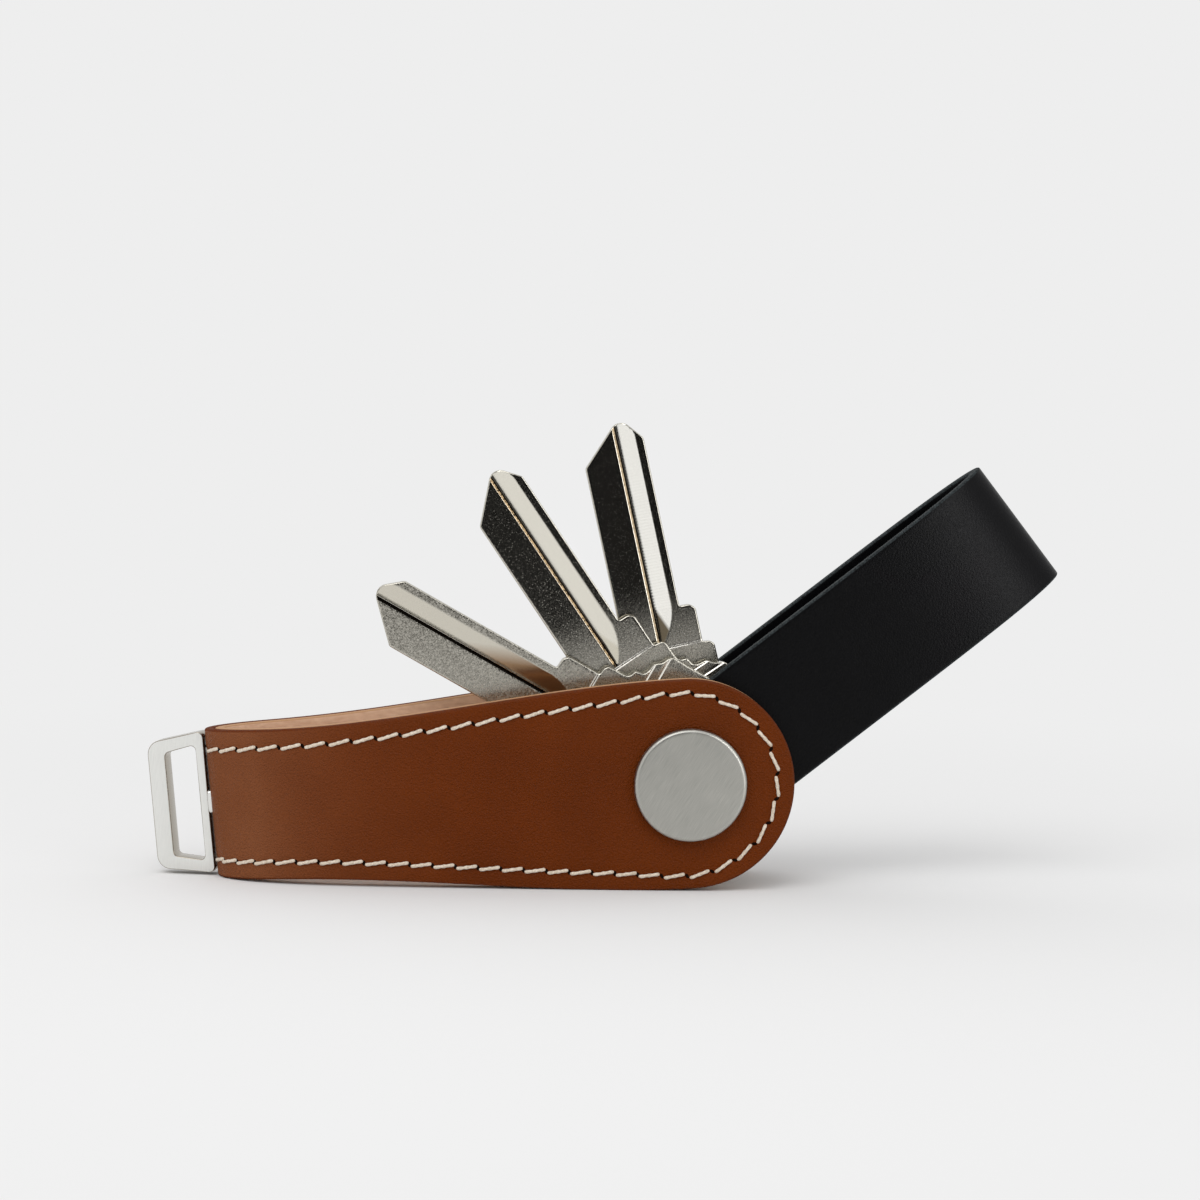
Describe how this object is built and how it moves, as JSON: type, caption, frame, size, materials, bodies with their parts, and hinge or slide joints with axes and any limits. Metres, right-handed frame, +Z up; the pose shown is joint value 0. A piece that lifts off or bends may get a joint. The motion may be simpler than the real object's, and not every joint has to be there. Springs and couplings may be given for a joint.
{
  "type": "key organizer",
  "caption": "Folded leather key organizer: uncut key blanks and a leather loop swing on one flat-headed screw, and a flat ring turns on a stem in the fold.",
  "frame": {"origin": "on the ground under the middle of the whole object's box, the case standing on its lobe and its fold", "axes": "+X from the end ring towards the leather loop, +Y from the front cap towards the rear cap, +Z up"},
  "size_m": [0.1244, 0.021, 0.0627],
  "materials": {
    "tan_leather": "smooth dyed vegetable-tanned leather, soft sheen",
    "natural_leather": "undyed lining leather, matt",
    "cream_thread": "waxed cream sewing thread",
    "black_leather": "smooth black leather, soft sheen",
    "satin_steel": "satin stainless steel",
    "nickel_plate": "brass with bright nickel plating",
    "white_nylon": "plain nylon"
  },
  "bodies": {
    "case": {"case_leather": "tan_leather", "case_lining": "natural_leather", "seam_front": "cream_thread", "seam_rear": "cream_thread", "front_screw": "satin_steel", "barrel_nut": "satin_steel", "washer_front": "white_nylon", "washer_rear": "white_nylon"},
    "loop": {"loop_strap": "black_leather"},
    "front_key": {"key_1": "nickel_plate"},
    "middle_key": {"key_2": "nickel_plate"},
    "rear_key": {"key_3": "nickel_plate"},
    "ring": {"end_ring": "satin_steel", "ring_burr": "satin_steel"}
  },
  "joints": [
    {"name": "loop_swing", "type": "hinge", "parent": "case", "child": "loop", "pos_m": [0.01108, 0, 0.01445], "axis": [0, -1, 0], "continuous": true},
    {"name": "key_1_swing", "type": "hinge", "parent": "case", "child": "front_key", "pos_m": [0.01108, -0.00225, 0.01445], "axis": [0, -1, 0], "continuous": true},
    {"name": "key_2_swing", "type": "hinge", "parent": "case", "child": "middle_key", "pos_m": [0.01108, 0, 0.01445], "axis": [0, -1, 0], "continuous": true},
    {"name": "key_3_swing", "type": "hinge", "parent": "case", "child": "rear_key", "pos_m": [0.01108, 0.00225, 0.01445], "axis": [0, -1, 0], "continuous": true},
    {"name": "ring_swivel", "type": "hinge", "parent": "case", "child": "ring", "pos_m": [-0.05341, 0.0007, 0.01008], "axis": [0.9771, -0.1863, 0.103], "continuous": true}
  ]
}
